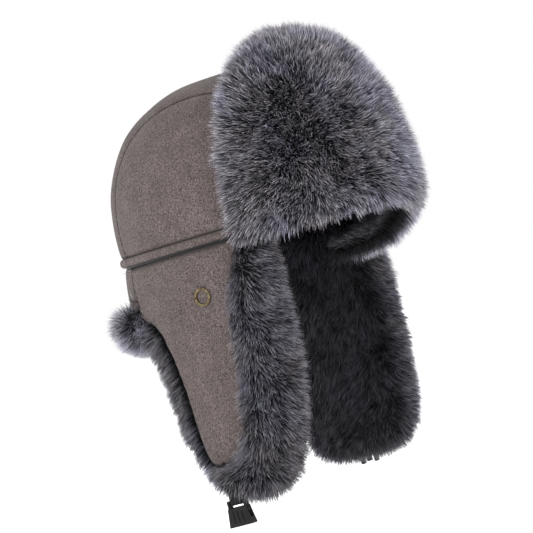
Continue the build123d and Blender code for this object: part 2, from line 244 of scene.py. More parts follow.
def skirt_points(flat, proud, side):
    """Places side-view points (y, z) on the flared skirt. side is -1 for the wearer's right."""
    reach = proud - np.minimum(flat[:, 1], 0) * FLARE
    across = np.clip(flat[:, 0] / (HALF_DEPTH + reach), -0.999, 0.999)
    x = side * (HALF_WIDTH + reach) * np.sqrt(1 - across**2)
    return np.stack([x, flat[:, 0], flat[:, 1]], 1)


def even_heights(bottom, top, rows, samples):
    """Heights from bottom to top, at even steps along the crown's profile."""
    fine = np.linspace(bottom, top, samples)
    radius = HALF_DEPTH * crown_share(fine)
    along = np.concatenate([[0], np.cumsum(np.hypot(np.diff(radius), np.diff(fine)))])
    return np.interp(np.linspace(0, along[-1], rows), along, fine)


# ------------------------------------------------------------------ materials


def material(name):
    """New node material. Returns it with its nodes, links and principled shader."""
    made = bpy.data.materials.new(name)
    made.use_nodes = True
    tree = made.node_tree
    return made, tree.nodes, tree.links, tree.nodes["Principled BSDF"]


def noise_at(nodes, links, scale, detail=4.0, roughness=0.6):
    """Noise in object coordinates."""
    where = nodes.new("ShaderNodeTexCoord")
    noise = nodes.new("ShaderNodeTexNoise")
    noise.inputs["Scale"].default_value = scale
    noise.inputs["Detail"].default_value = detail
    noise.inputs["Roughness"].default_value = roughness
    links.new(where.outputs["Object"], noise.inputs["Vector"])
    return noise.outputs["Fac"]


def ramp(nodes, links, factor, *stops):
    """Colour ramp over a factor. Each stop is (position, colour)."""
    node = nodes.new("ShaderNodeValToRGB")
    for _ in range(len(stops) - 2):
        node.color_ramp.elements.new(0.5)
    for element, (position, colour) in zip(node.color_ramp.elements, stops):
        element.position = position
        element.color = (*colour, 1)
    links.new(factor, node.inputs["Fac"])
    return node.outputs["Color"]


def mix(nodes, links, factor, first, second, blend_type="MIX"):
    """Mixes two colours, each an output or a constant."""
    node = nodes.new("ShaderNodeMix")
    node.data_type = "RGBA"
    node.blend_type = blend_type
    for socket, value in ((0, factor), (6, first), (7, second)):
        if isinstance(value, bpy.types.NodeSocket):
            links.new(value, node.inputs[socket])
        elif socket == 0:
            node.inputs[socket].default_value = value
        else:
            node.inputs[socket].default_value = (*value, 1)
    return node.outputs[2]


def attribute(nodes, name):
    """A named value that the mesh carries on its points."""
    node = nodes.new("ShaderNodeAttribute")
    node.attribute_name = name
    return node.outputs["Fac"]


def bump(nodes, links, shader, height, strength, distance):
    """Fine relief from a height output. distance is in metres."""
    node = nodes.new("ShaderNodeBump")
    node.inputs["Strength"].default_value = strength
    node.inputs["Distance"].default_value = distance
    links.new(height, node.inputs["Height"])
    links.new(node.outputs["Normal"], shader.inputs["Normal"])


def suede_material():
    """Brushed suede-look cloth: soft mottle, short nap, and painted shade along its seam grooves and
    creases.
    """
    made, nodes, links, shader = material("suede")
    mottle = noise_at(nodes, links, 60, 3)
    nap = noise_at(nodes, links, 980, 3, 0.75)
    base = ramp(
        nodes, links, mottle, (0.3, (0.087, 0.070, 0.068)), (0.7, (0.119, 0.097, 0.094))
    )
    grain = ramp(nodes, links, nap, (0.36, (0.26, 0.255, 0.25)), (0.64, (1.80, 1.79, 1.78)))
    napped = mix(nodes, links, 1.0, base, grain, "MULTIPLY")
    # Painted shade: the seam value darkens the cloth along its seam grooves and creases.
    seam_darkened = mix(nodes, links, attribute(nodes, "seam"), napped, (0.022, 0.016, 0.015))
    links.new(seam_darkened, shader.inputs["Base Color"])
    shader.inputs["Roughness"].default_value = 0.95
    shader.inputs["Specular IOR Level"].default_value = 0.15
    shader.inputs["Sheen Weight"].default_value = 0.08
    shader.inputs["Sheen Roughness"].default_value = 0.6
    bump(nodes, links, shader, nap, 0.55, 0.0006)
    return made


def fur_material():
    """Faux fur: charcoal at the root, blue-grey at the tip, with drifts of lighter hair."""
    made, nodes, links, shader = material("fur")
    along = attribute(nodes, "tip")
    tone = attribute(nodes, "tone")
    drift = noise_at(nodes, links, 28, 2)
    hair = ramp(
        nodes,
        links,
        along,
        (0.0, (0.007, 0.007, 0.008)),
        (0.40, (0.025, 0.026, 0.031)),
        (0.68, (0.17, 0.172, 0.20)),
        (0.95, (0.62, 0.61, 0.67)),
    )
    warm = ramp(nodes, links, drift, (0.40, (1.0, 0.96, 0.93)), (0.60, (0.98, 0.98, 1.05)))
    drifted = mix(nodes, links, 1.0, hair, warm, "MULTIPLY")
    spread = ramp(nodes, links, tone, (0.0, (0.12, 0.12, 0.125)), (1.0, (2.1, 2.1, 2.1)))
    toned = mix(nodes, links, 1.0, drifted, spread, "MULTIPLY")
    links.new(toned, shader.inputs["Base Color"])
    shader.inputs["Roughness"].default_value = 0.7
    shader.inputs["Specular IOR Level"].default_value = 0.2
    return made


def lining_material():
    """Dark satin lining with a fine weave."""
    made, nodes, links, shader = material("lining")
    thread = noise_at(nodes, links, 900, 2)
    shade = noise_at(nodes, links, 35, 2)
    base = ramp(
        nodes, links, shade, (0.3, (0.010, 0.010, 0.011)), (0.7, (0.022, 0.022, 0.024))
    )
    # Painted shade in the lining's quilted grooves; on the sweatband the same value marks its stitch
    # lines.
    seam_darkened = mix(nodes, links, attribute(nodes, "seam"), base, (0.004, 0.004, 0.004))
    links.new(seam_darkened, shader.inputs["Base Color"])
    shader.inputs["Roughness"].default_value = 0.45
    shader.inputs["Sheen Weight"].default_value = 0.2
    bump(nodes, links, shader, thread, 0.2, 0.0003)
    return made


def webbing_material():
    """Black woven tape."""
    made, nodes, links, shader = material("webbing")
    where = nodes.new("ShaderNodeTexCoord")
    weave = nodes.new("ShaderNodeTexWave")
    weave.wave_type = "BANDS"
    weave.bands_direction = "DIAGONAL"
    weave.inputs["Scale"].default_value = 260
    weave.inputs["Distortion"].default_value = 1.5
    links.new(where.outputs["Object"], weave.inputs["Vector"])
    base = ramp(
        nodes, links, weave.outputs["Fac"], (0.2, (0.006, 0.006, 0.007)), (0.8, (0.028, 0.028, 0.03))
    )
    links.new(base, shader.inputs["Base Color"])
    shader.inputs["Roughness"].default_value = 0.8
    shader.inputs["Specular IOR Level"].default_value = 0.1
    bump(nodes, links, shader, weave.outputs["Fac"], 0.5, 0.0003)
    return made


def plastic_material():
    """Black acetal with a fine spark-eroded grain."""
    made, nodes, links, shader = material("buckle")
    grain = noise_at(nodes, links, 1400, 2)
    patch = noise_at(nodes, links, 90, 2)
    base = ramp(
        nodes, links, patch, (0.3, (0.008, 0.008, 0.009)), (0.7, (0.015, 0.015, 0.016))
    )
    links.new(base, shader.inputs["Base Color"])
    shader.inputs["Roughness"].default_value = 0.6
    shader.inputs["Specular IOR Level"].default_value = 0.2
    bump(nodes, links, shader, grain, 0.12, 0.0002)
    return made


def brass_material():
    """Antiqued brass: dark in patches, bright where rubbed."""
    made, nodes, links, shader = material("brass")
    patch = noise_at(nodes, links, 420, 3)
    base = ramp(
        nodes, links, patch, (0.35, (0.07, 0.055, 0.033)), (0.65, (0.27, 0.21, 0.12))
    )
    links.new(base, shader.inputs["Base Color"])
    shader.inputs["Metallic"].default_value = 1.0
    shader.inputs["Roughness"].default_value = 0.38
    bump(nodes, links, shader, patch, 0.15, 0.0002)
    return made


SUEDE = suede_material()
FUR = fur_material()
LINING = lining_material()
WEBBING = webbing_material()
PLASTIC = plastic_material()
BRASS = brass_material()

# ------------------------------------------------------------------ fur


def strands(points, faces, weight, count, length, drape, shade, seed, width):
    """Tapered hairs rooted on a skin. weight per point says where, drape which way they lie."""
    rng = np.random.default_rng(seed)
    triangles = []
    for face in faces:
        for k in range(1, len(face) - 1):
            triangles.append((face[0], face[k], face[k + 1]))
    triangles = np.array(triangles)
    a, b, c = (points[triangles[:, k]] for k in range(3))
    cross = np.cross(b - a, c - a)
    normals = np.zeros_like(points)
    for k in range(3):
        np.add.at(normals, triangles[:, k], cross)
    normals = unit(normals)
    share = np.linalg.norm(cross, axis=1) * weight[triangles].mean(1)
    picked = rng.choice(len(triangles), count, p=share / share.sum())
    u, v = rng.uniform(size=count), rng.uniform(size=count)
    over = u + v > 1
    u[over], v[over] = 1 - u[over], 1 - v[over]
    mixed = np.stack([1 - u - v, u, v], 1)[:, :, None]
    corners = triangles[picked]
    roots = (points[corners] * mixed).sum(1)
    out = unit((normals[corners] * mixed).sum(1))
    tuft = wave_field(roots, 11.0, seed + 1)
    curl = wave_field(roots, 34.0, seed + 2)
    stray = rng.normal(size=(count, 3))
    lie = drape(roots, out)
    first = unit(out + 0.35 * lie + 0.10 * tuft + 0.22 * curl + 0.10 * stray)
    second = unit(first + 0.65 * lie + 0.16 * tuft + 0.2 * curl + 0.07 * stray)
    long = length * rng.uniform(0.72, 1.12, count) * (1 + 0.10 * tuft[:, 0])
    middle = roots + first * (long * 0.5)[:, None]
    tips = middle + second * (long * 0.5)[:, None]
    across = unit(np.cross(first, rng.normal(size=(count, 3))))
    wide = rng.uniform(0.6, 1.0, count)[:, None] * width / 2
    roots = roots - first * 0.8
    hair = np.stack(
        [
            roots - across * wide,
            roots + across * wide,
            middle - across * wide * 0.85,
            middle + across * wide * 0.85,
            tips,
        ],
        1,
    ).reshape(-1, 3)
    start = np.arange(count)[:, None] * 5
    quads = start + np.array([0, 1, 3, 2])
    ends = start + np.array([2, 3, 4])
    streak = wave_field(roots, 5.0, seed + 3)[:, 0]
    # shade(roots, out) paints shade into the hairs' tone.
    bright = (rng.normal(0.45, 0.2, count) + 0.28 * streak) * shade(roots, out)
    tone = np.repeat(np.clip(bright, 0, 1), 5)
    tip = np.tile([0.0, 0.0, 0.55, 0.55, 1.0], count)
    return hair, quads.tolist() + ends.tolist(), tip, tone


def outward(points, faces):
    """The faces of a closed mesh, all turned to face outwards."""
    volume = 0.0
    for face in faces:
        a = points[face[0]]
        for k in range(1, len(face) - 1):
            volume += a @ np.cross(points[face[k]], points[face[k + 1]])
    return faces if volume > 0 else [tuple(face)[::-1] for face in faces]


def furry(name, points, faces, weight, count, length, drape, shade, seed):
    """One pelt: its skin with a short dense undercoat, and a second piece of long guard hairs."""
    faces = outward(points, faces)
    hair, hair_faces, tip, tone = strands(
        points, faces, weight, count * 2 // 3, length * 0.72, drape, shade, seed, 0.8
    )
    shift = len(points)
    all_faces = [tuple(f) for f in faces]
    all_faces += [tuple(k + shift for k in f) for f in hair_faces]
    skin = np.full(shift, 0.05)
    skin_piece = build(
        name,
        np.vstack([points, hair]),
        all_faces,
        FUR,
        {"tip": np.concatenate([skin, tip * 0.66]), "tone": np.concatenate([skin, tone * 0.7])},
    )
    hair, hair_faces, tip, tone = strands(
        points, faces, weight, count, length, drape, shade, seed + 5, 0.62
    )
    guard = build(f"{name}_guard_hairs", hair, hair_faces, FUR, {"tip": tip, "tone": tone})
    return skin_piece, guard


def painted_ear_shade(roots, out):
    """Painted shade on the ear flaps' hair: 0.62 as bright as the visor's all over, on top of the
    painted shade where it faces the head.
    """
    return 0.62 * painted_inner_shade(roots, out)


def painted_inner_shade(roots, out):
    """Painted shade: darker hair where the pelt faces the head, inside the hat."""
    inward = -(out[:, 0] * roots[:, 0] + out[:, 1] * roots[:, 1])
    inward /= np.maximum(np.hypot(roots[:, 0], roots[:, 1]), 1e-6)
    return 1.0 - 0.65 * np.clip(inward * 1.6 + 0.15, 0, 1)


# ------------------------------------------------------------------ crown


def sewn_height(distance, along):
    """Rise of padded cloth beside a sewn line: a pulled groove, then a soft swell."""
    stitch = 3.2
    pull = 1 + 0.25 * np.sin(along * 2 * math.pi / stitch)
    return 1.3 * (1 - np.exp(-np.abs(distance) / 5.0)) - pull * np.exp(-((distance / 0.8) ** 2))


def seam_groove_and_painted_shade(distance, width=0.8):
    """Falls from 1 on a seam line to 0 away from it: the painted shade along seam grooves and creases,
    and the depth of a sewn groove.
    """
    return np.exp(-((distance / width) ** 2))


def cloth_relief(points, seed):
    """Slow unevenness of padded cloth."""
    return 0.45 * wave_field(points, 46.0, seed)[:, 0] + 0.15 * wave_field(points, 15.0, seed + 1)[:, 1]


def near_ends(count):
    """Shares from 0 to 1, closer together at both ends."""
    even = np.linspace(-1, 1, count)
    from_end = 1 - np.abs(even)
    bent = 0.75
    return 0.5 + 0.5 * np.sign(even) * (1 - from_end**1.7 * bent - (1 - bent) * from_end)


def panel_skin(points, distance, along_band, seed):
    """Padded skin of a crown panel, and the painted shade in its seam grooves. distance is from the
    seam beside the strip.
    """
    low = points[:, 2] - BAND
    rise = sewn_height(distance, points[:, 1] + points[:, 2])
    rise += sewn_height(low, along_band) - 1.0
    rise += cloth_relief(points, seed) * np.clip(distance / 8, 0, 1)
    # Painted shade in the grooves of the strip's seam and the band's seam.
    mark = np.maximum(seam_groove_and_painted_shade(distance), seam_groove_and_painted_shade(low, 1.25))
    return points + crown_normal(points) * (rise - CLOTH_DEPTH)[:, None], mark


def side_panel(side):
    """Side panel of the crown, between the strip's seam and the band."""
    fine = np.linspace(60, HEIGHT, 800)
    gap = HALF_WIDTH * crown_share(fine) - (STRIP - STRIP_TAPER * fine)
    top = fine[np.argmax(gap < 0)]
    rows, columns = 90, 150
    shares = near_ends(columns)
    points = []
    for z in even_heights(BAND, top - 0.02, rows, 600):
        share = crown_share(z)
        start = math.acos(min(1, (STRIP - STRIP_TAPER * z) / (HALF_WIDTH * share)))
        angle = -start + 2 * start * shares
        x = side * HALF_WIDTH * share * np.cos(angle)
        y = HALF_DEPTH * share * np.sin(angle)
        points.append(np.stack([x, y, np.full(columns, z)], 1))
    points = np.vstack(points)
    distance = np.abs(points[:, 0]) - (STRIP - STRIP_TAPER * points[:, 2])
    moved, mark = panel_skin(points, distance, points[:, 1], 21)
    faces = grid_faces(rows, columns, flip=side > 0)
    name = f"crown_side_{word_for(side)}_cloth"
    return build(name, moved, faces, SUEDE, {"seam": mark})


def centre_strip():
    """Strip from the front of the band over the top to the back."""
    rows, columns = 260, 90
    shares = near_ends(columns) * 2 - 1
    fine = np.linspace(BAND, HEIGHT - 0.01, 1500)
    lines = []
    for share in shares:
        x = share * (STRIP - STRIP_TAPER * fine)
        room = crown_share(fine) ** 2 - (x / HALF_WIDTH) ** 2
        kept = room > 0
        x, z = x[kept], fine[kept]
        y = HALF_DEPTH * np.sqrt(room[kept])
        x, z = np.append(x, x[-1]), np.append(z, z[-1])
        y = np.append(y, 0)
        line = np.vstack([np.stack([x, -y, z], 1), np.stack([x, y, z], 1)[::-1][1:]])
        along = length_along(line)
        even = np.linspace(0, along[-1], rows)
        lines.append(np.stack([np.interp(even, along, line[:, k]) for k in range(3)], 1))
    points = np.stack(lines, 1).reshape(-1, 3)
    distance = (STRIP - STRIP_TAPER * points[:, 2]) - np.abs(points[:, 0])
    moved, mark = panel_skin(points, distance, points[:, 0], 24)
    return build(
        "crown_strip_cloth", moved, grid_faces(rows, columns), SUEDE, {"seam": mark}
    )


def band():
    """Raised welt of folded cloth round the base, with its short upright joint at the back."""
    columns, rows = 640, 19
    angle = np.linspace(0, 2 * math.pi, columns, endpoint=False)
    joint_angle = math.atan2((CUT_Y - 1) / HALF_DEPTH, -CUT_X / HALF_WIDTH)
    joint_radius = 98
    overlap = 0.35
    points, mark = [], []
    for k in range(rows):
        turn = math.pi * k / (rows - 1)
        z = BAND / 2 - (BAND / 2 + overlap) * math.cos(turn)
        proud = -2.6 + 4.0 * math.sin(turn) ** 0.7
        away = np.abs((angle - joint_angle + math.pi) % (2 * math.pi) - math.pi) * joint_radius
        pucker = 0.12 * np.sin(angle * 190) - 0.9 * np.exp(-((away / 0.7) ** 2))
        reach = proud + pucker
        x = (HALF_WIDTH + reach) * np.cos(angle)
        y = (HALF_DEPTH + reach) * np.sin(angle)
        points.append(np.stack([x, y, np.full(columns, z)], 1))
        # Painted shade in the creases where the welt turns under at its top and bottom edges, and in
        # the joint's groove.
        edge = min(z + overlap, BAND + overlap - z)
        mark.append(np.maximum(math.exp(-((edge / 0.7) ** 2)), 0.7 * seam_groove_and_painted_shade(away)))
    return build(
        "crown_band_cloth",
        np.vstack(points),
        grid_faces(rows, columns, closed=True),
        SUEDE,
        {"seam": np.concatenate(mark)},
    )


def lining():
    """Quilted inner cap, closed at the top, and turned over the edge at the band."""
    rows, columns = 90, 260
    depth = 5.8
    angle = np.linspace(0, 2 * math.pi, columns, endpoint=False)
    phase = np.linspace(0.0, math.pi / 2, rows)
    points = []
    for p in phase:
        share = math.cos(p) ** (2 / POWER)
        z = (HEIGHT - 6) * math.sin(p) ** (2 / POWER)
        x = (HALF_WIDTH - depth) * share * np.cos(angle)
        y = (HALF_DEPTH - depth) * share * np.sin(angle)
        points.append(np.stack([x, y, np.full(columns, z)], 1))
    points = np.vstack(points)
    pitch = 34.0
    first = (points[:, 0] + points[:, 1]) / pitch
    second = (points[:, 0] - points[:, 1]) / pitch
    line = np.minimum(np.abs(first - np.round(first)), np.abs(second - np.round(second))) * pitch
    on_top = np.clip((points[:, 2] - 34) / 20, 0, 1)
    puff = 1.4 * (1 - np.exp(-line / 4.0)) * on_top
    inward = -crown_normal(points)
    outer_edge = []
    for reach, z in ((-5.0, -1.2), (-3.0, -1.6), (-1.8, -0.4)):
        x = (HALF_WIDTH + reach) * np.cos(angle)
        y = (HALF_DEPTH + reach) * np.sin(angle)
        outer_edge.append(np.stack([x, y, np.full(columns, z)], 1))
    outer_edge = np.vstack(outer_edge[::-1])
    moved = np.vstack([outer_edge, points + inward * puff[:, None]])
    # Painted shade in the grooves of the quilted lines.
    mark = np.concatenate([np.zeros(len(outer_edge)), seam_groove_and_painted_shade(line) * on_top])
    return build(
        "crown_lining_cloth",
        moved,
        grid_faces(rows + 3, columns, closed=True, flip=True),
        LINING,
        {"seam": mark},
    )


def sweat_tape():
    """Tape sewn round the inside of the opening."""
    rows, columns = 16, 320
    angle = np.linspace(0, 2 * math.pi, columns, endpoint=False)
    points, mark = [], []
    for k in range(rows):
        z = 1.0 + 26.0 * k / (rows - 1)
        reach = -7.2 - 0.5 * math.sin(math.pi * k / (rows - 1))
        if k in (0, rows - 1):
            reach = -6.2
        ripple = 0.25 * np.sin(angle * 46) * (k / rows)
        share = crown_share(z)
        x = (HALF_WIDTH * share + reach + ripple) * np.cos(angle)
        y = (HALF_DEPTH * share + reach + ripple) * np.sin(angle)
        points.append(np.stack([x, y, np.full(columns, z)], 1))
        near = min(k, rows - 1 - k)
        mark.append(np.full(columns, 0.8 if near == 1 else 0.0))
    return build(
        "sweatband_cloth",
        np.vstack(points),
        grid_faces(rows, columns, closed=True, flip=True),
        LINING,
        {"seam": np.concatenate(mark)},
    )


side_right = side_panel(-1)
side_left = side_panel(1)
strip = centre_strip()
welt = band()
cap = lining()
tape = sweat_tape()
for piece, nodes in (
    (side_right, ["crown_side_right"]),
    (side_left, ["crown_side_left"]),
    (strip, ["crown_centre_strip"]),
    (welt, ["crown_band"]),
    (cap, ["crown_lining", "crown_wadding"]),
    (tape, ["sweatband"]),
):
    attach(piece, "crown")
    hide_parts(*nodes)

# ------------------------------------------------------------------ flaps as padded sheets


def pad(flat, faces, rim, outer, inner, side):
    """Closed pad on the skirt. outer and inner are the offsets of its two faces."""
    front = skirt_points(flat, outer, side)
    back = skirt_points(flat, inner, side)
    index = np.where(rim, np.arange(len(flat)), len(flat) + np.cumsum(~rim) - 1)
    middle = skirt_points(flat, (outer + inner) / 2, side)
    front[rim] = middle[rim]
    points = np.vstack([front, back[~rim]])
    out_faces = [f if side > 0 else f[::-1] for f in faces]
    in_faces = [tuple(index[k] for k in (f[::-1] if side > 0 else f)) for f in faces]
    return points, out_faces + in_faces


# Side view (y, z) of one ear flap: the suede tongue and the pelt that shows round it.
TONGUE = [
    (-29, -0.8),
    (-20, -20),
    (-11, -50),
    (-8, -90),
    (0, -130),
    (8, -150),
    (26, -154),
    (40, -151),
    (45, -130),
    (47, -96),
    (53, -66),
    (62, -46),
    (76, -42),
    (CUT_Y, -42),
]
PELT = [
    (-37, -3),
    (-39, -40),
    (-37, -90),
    (-31, -130),
    (-24, -158),
    (-11, -173),
    (10, -174),
    (34, -165),
    (49, -143),
    (57, -112),
    (59, -84),
    (68, -60),
    (CUT_Y - 1, -55),
]
tongue_edge = smooth_line(TONGUE, 2.0)
pelt_edge = smooth_line(PELT, 3.0)


def close_top(edge, step, top):
    """Loop from a free edge, up the cut and along the top seam."""
    end, start = edge[-1], edge[0]
    up = np.linspace(end, (end[0], top), max(3, int((top - end[1]) / step)))[1:]
    along = np.linspace((end[0], top), (start[0], top), int((end[0] - start[0]) / step))[1:-1]
    return np.vstack([edge, up, along])


def ear_suede(side):
    """Suede side of an ear flap, padded, with its turned edge."""
    flat, faces, rim = fill_outline(close_top(tongue_edge, 2.0, -TOP_SEAM), 2.6)
    free = edge_distance(flat, tongue_edge)
    high = -flat[:, 1] - TOP_SEAM
    half = 2.6
    edge = rounded(free, 3.5)
    swell = 1.3 * (1 - np.exp(-free / 9.0)) * np.clip(high / 10, 0, 1)
    relief = cloth_relief(np.stack([flat[:, 0], flat[:, 1], flat[:, 0] * 0], 1), 31 + side)
    pucker = 0.5 * np.exp(-high / 9) * np.sin(flat[:, 0] / 4.7)
    eyelet = np.hypot(flat[:, 0] - EYELET_Y, flat[:, 1] - EYELET_Z)
    dimple = 1.5 * np.exp(-((eyelet / 13) ** 4))
    body = swell + 0.8 * relief * edge + pucker - dimple
    outer = -half + (half + body) * edge - 1.6 * seam_groove_and_painted_shade(high, 1.0)
    outer = np.where(eyelet < 10.0, np.minimum(outer, -0.6), outer)
    inner = -half - half * edge
    points, all_faces = pad(flat, faces, rim, outer, inner, side)
    # Painted shade in the groove along the flap's top seam.
    mark = np.concatenate([seam_groove_and_painted_shade(high, 1.5), np.zeros(int((~rim).sum()))])
    return build(f"ear_flap_{word_for(side)}_suede", points, all_faces, SUEDE, {"seam": mark})


def ear_drape(side):
    """Hair on an ear flap falls down and away from its middle."""

    def drape(roots, out):
        lean = np.zeros_like(roots)
        lean[:, 2] = -0.75
        lean[:, 0] = side * 0.1
        lean[:, 1] = np.clip((roots[:, 1] - 6) / 60, -0.5, 0.5)
        return lean

    return drape


def ear_pelt(side):
    """Pelt that lines an ear flap and rolls out round its front and bottom edges."""
    free_edge = pelt_edge.copy()
    if side > 0:
        y, z = free_edge[:, 0].copy(), free_edge[:, 1].copy()
        corner = np.exp(-(((y - 40) / 20) ** 2) - ((z + 155) / 20) ** 2)
        free_edge[:, 0] += np.where(y < 0, LEFT_TUCK, 0) + 0.4 * LEFT_CORNER * corner
        free_edge[:, 1] -= LEFT_CORNER * corner
    loop = close_top(free_edge, 3.0, -3.0)
    flat, faces, rim = fill_outline(loop, 3.6)
    free = edge_distance(flat, np.vstack([loop, loop[:1]]))
    tongue = close_top(tongue_edge, 2.0, 4.0)
    beyond = edge_distance(flat, tongue_edge) * np.where(inside(flat, tongue), -1, 1)
    out_level = -6.2 + 7.4 * np.clip((beyond - 1) / 9, 0, 1) ** 0.8
    in_level = -18.0 - 3.0 * np.clip((beyond + 6) / 14, 0, 1)
    middle = (out_level + in_level) / 2
    edge = rounded(free, 11.0)
    outer = middle + (out_level - middle) * edge
    inner = middle + (in_level - middle) * edge
    points, all_faces = pad(flat, faces, rim, outer, inner, side)
    weight_out = np.clip((beyond + 1.5) / 3, 0, 1)
    weight = np.concatenate([weight_out, np.ones(int((~rim).sum()))])
    name = f"ear_flap_{word_for(side)}_fur"
    drape = ear_drape(side)
    # The ear flaps' hair gets painted shade all over and where it faces the head.
    return furry(name, points, all_faces, weight, 46000, HAIR, drape, painted_ear_shade, 50 + 9 * side)


for side in (-1, 1):
    word = word_for(side)
    cloth = ear_suede(side)
    fur, guard = ear_pelt(side)
    for piece in (cloth, fur, guard):
        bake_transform(piece)
    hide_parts(f"ear_shell_{word}", f"ear_wadding_{word}")
    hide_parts(f"ear_fur_{word}")

# ------------------------------------------------------------------ neck flap


def round_the_back(count, spare):
    """Angles from one radial cut to the other behind the head, spare degrees short of each."""
    start = math.acos(CUT_X / HALF_WIDTH) + math.radians(spare)
    return np.linspace(start, math.pi - start, count)


def sweep_back(section, angles):
    """Sweeps a closed section of (proud, z) round the back of the skirt."""
    rows = []
    for angle in angles:
        reach = section[:, 0] - np.minimum(section[:, 1], 0) * FLARE
        x = (HALF_WIDTH + reach) * math.cos(angle)
        y = (HALF_DEPTH + reach) * math.sin(angle)
        rows.append(np.stack([x, y, section[:, 1]], 1))
    points = np.vstack(rows)
    count = len(section)
    faces = grid_faces(len(angles), count, closed=True, flip=True)
    faces.append(tuple(range(count)))
    last = (len(angles) - 1) * count
    faces.append(tuple(last + k for k in range(count))[::-1])
    return points, faces


def neck_suede():
    """Suede side of the neck flap."""
    corners = [
        (-5.2, -TOP_SEAM),
        (-5.2, -HEM),
        (-2.6, -HEM - 2.5),
        (0.4, -HEM),
        (0.8, -20),
        (-0.6, -TOP_SEAM),
    ]
    section = smooth_line(corners, 1.5, closed=True)
    points, faces = sweep_back(section, round_the_back(120, 0.0))
    high = -points[:, 2] - TOP_SEAM
    lift = 0.5 * wave_field(points, 40.0, 61)[:, 0] * np.clip(high / 10, 0, 1)
    points = points + unit(points * [1, 1, 0]) * lift[:, None]
    # Painted shade in the groove along the flap's top seam.
    mark = 0.9 * seam_groove_and_painted_shade(high)
    return build("neck_flap_suede", points, faces, SUEDE, {"seam": mark})


def neck_drape(roots, out):
    """Hair on the neck flap falls down and back."""
    lean = np.zeros_like(roots)
    lean[:, 2] = -0.25
    lean[:, 1] = 0.3
    return lean


def neck_pelt():
    """Pelt inside the neck flap, rolled out under its hem. No hair grows behind the suede."""
    corners = [
        (-6.4, -3),
        (-6.4, -HEM - 1),
        (2.0, -HEM + 1),
        (5.5, -HEM + 6),
        (7.5, -HEM - 1),
        (3.0, -HEM - 9),
        (-8.0, -HEM - 12),
        (-17.0, -HEM - 9),
        (-18.5, -HEM + 10),
        (-18.5, -3),
    ]
    section = smooth_line(corners, 2.5, closed=True)
    points, faces = sweep_back(section, round_the_back(70, 1.5))
    reach = np.hypot(points[:, 0] / HALF_WIDTH, points[:, 1] / HALF_DEPTH)
    covered = (reach > 0.90) & (reach < 1.05) & (points[:, 2] > -HEM - 1.5)
    weight = np.where(covered, 0.0, 1.0)
    # The neck flap's hair gets painted shade where it faces the head.
    return furry("neck_flap_fur", points, faces, weight, 40000, HAIR, neck_drape, painted_inner_shade, 71)


neck_cloth = neck_suede()
neck_fur, neck_guard = neck_pelt()
for piece in (neck_cloth, neck_fur, neck_guard):
    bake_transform(piece)
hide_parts("neck_shell", "neck_wadding")
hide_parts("neck_fur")

# ------------------------------------------------------------------ visor


def visor_sheet(columns, rows):
    """Points of the folded-up visor on the crown, row by row from the base to its peak."""
    low = np.linspace(0, HEIGHT - 0.01, 2500)
    depth = HALF_DEPTH * crown_share(low)
    rear = VISOR_REAR + VISOR_LEAN * low
    peak = low[np.argmax(depth < rear)] - 0.05
    points = []
    for z in even_heights(0, peak, rows, 900):
        share = crown_share(z)
        rear_z = VISOR_REAR + VISOR_LEAN * z
        start = math.asin(min(1.0, rear_z / (HALF_DEPTH * share)))
        angle = np.linspace(-math.pi + start, -start, columns)
        x = HALF_WIDTH * share * np.cos(angle)
        y = HALF_DEPTH * share * np.sin(angle)
        points.append(np.stack([x, y, np.full(columns, z)], 1))
    return np.vstack(points)


def visor_droop(points):
    """How far each point of the visor's lower edge hangs below the band."""
    low = np.clip(1 - points[:, 2] / 70, 0, 1) ** 1.5
    left = 1 / (1 + np.exp(-(points[:, 0] - 22) / 13))
    return low * (2.0 + VISOR_DROOP * left)


def visor_drape(roots, out):
    """Hair on the visor falls away from its middle towards every edge."""
    lean = np.zeros_like(roots)
    lean[:, 0] = np.clip(roots[:, 0] / 200, -0.5, 0.3)
    lean[:, 1] = np.clip((roots[:, 1] + 85) / 60, 0, 0.9)
    lean[:, 2] = np.clip((roots[:, 2] - 75) / 110, -0.75, 0.2)
    return lean


def visor_drop(sheet):
    """Moves of the visor's lower edge: down by its droop, and in under the band."""
    drop = np.zeros_like(sheet)
    drop[:, 2] = -visor_droop(sheet)
    drooped = sheet[:, 2] + drop[:, 2]
    tuck = np.clip(6 - drooped, 0, None) ** 2 / 40
    drop[:, 0] -= tuck * sheet[:, 0] / np.hypot(sheet[:, 0], sheet[:, 1])
    drop[:, 1] -= tuck * sheet[:, 1] / np.hypot(sheet[:, 0], sheet[:, 1])
    return drop


def visor_front(sheet):
    """How far the pelt's front skin stands off the crown: more towards the top of the front."""
    plump = wave_field(sheet, 60.0, 81)[:, 0]
    front = 8.5 + 7.0 * np.clip((sheet[:, 2] - 42) / 60, 0, 1) + plump
    top = np.clip((sheet[:, 2] - 75) / 20, 0, 1)
    front += 2.0 * top + 3.0 * top * np.clip((-sheet[:, 1] - 40) / 30, 0, 1)
    front -= 2.0 * np.clip(sheet[:, 0] / 60, 0, 1) * np.clip(1 - sheet[:, 2] / 60, 0, 1)
    return front


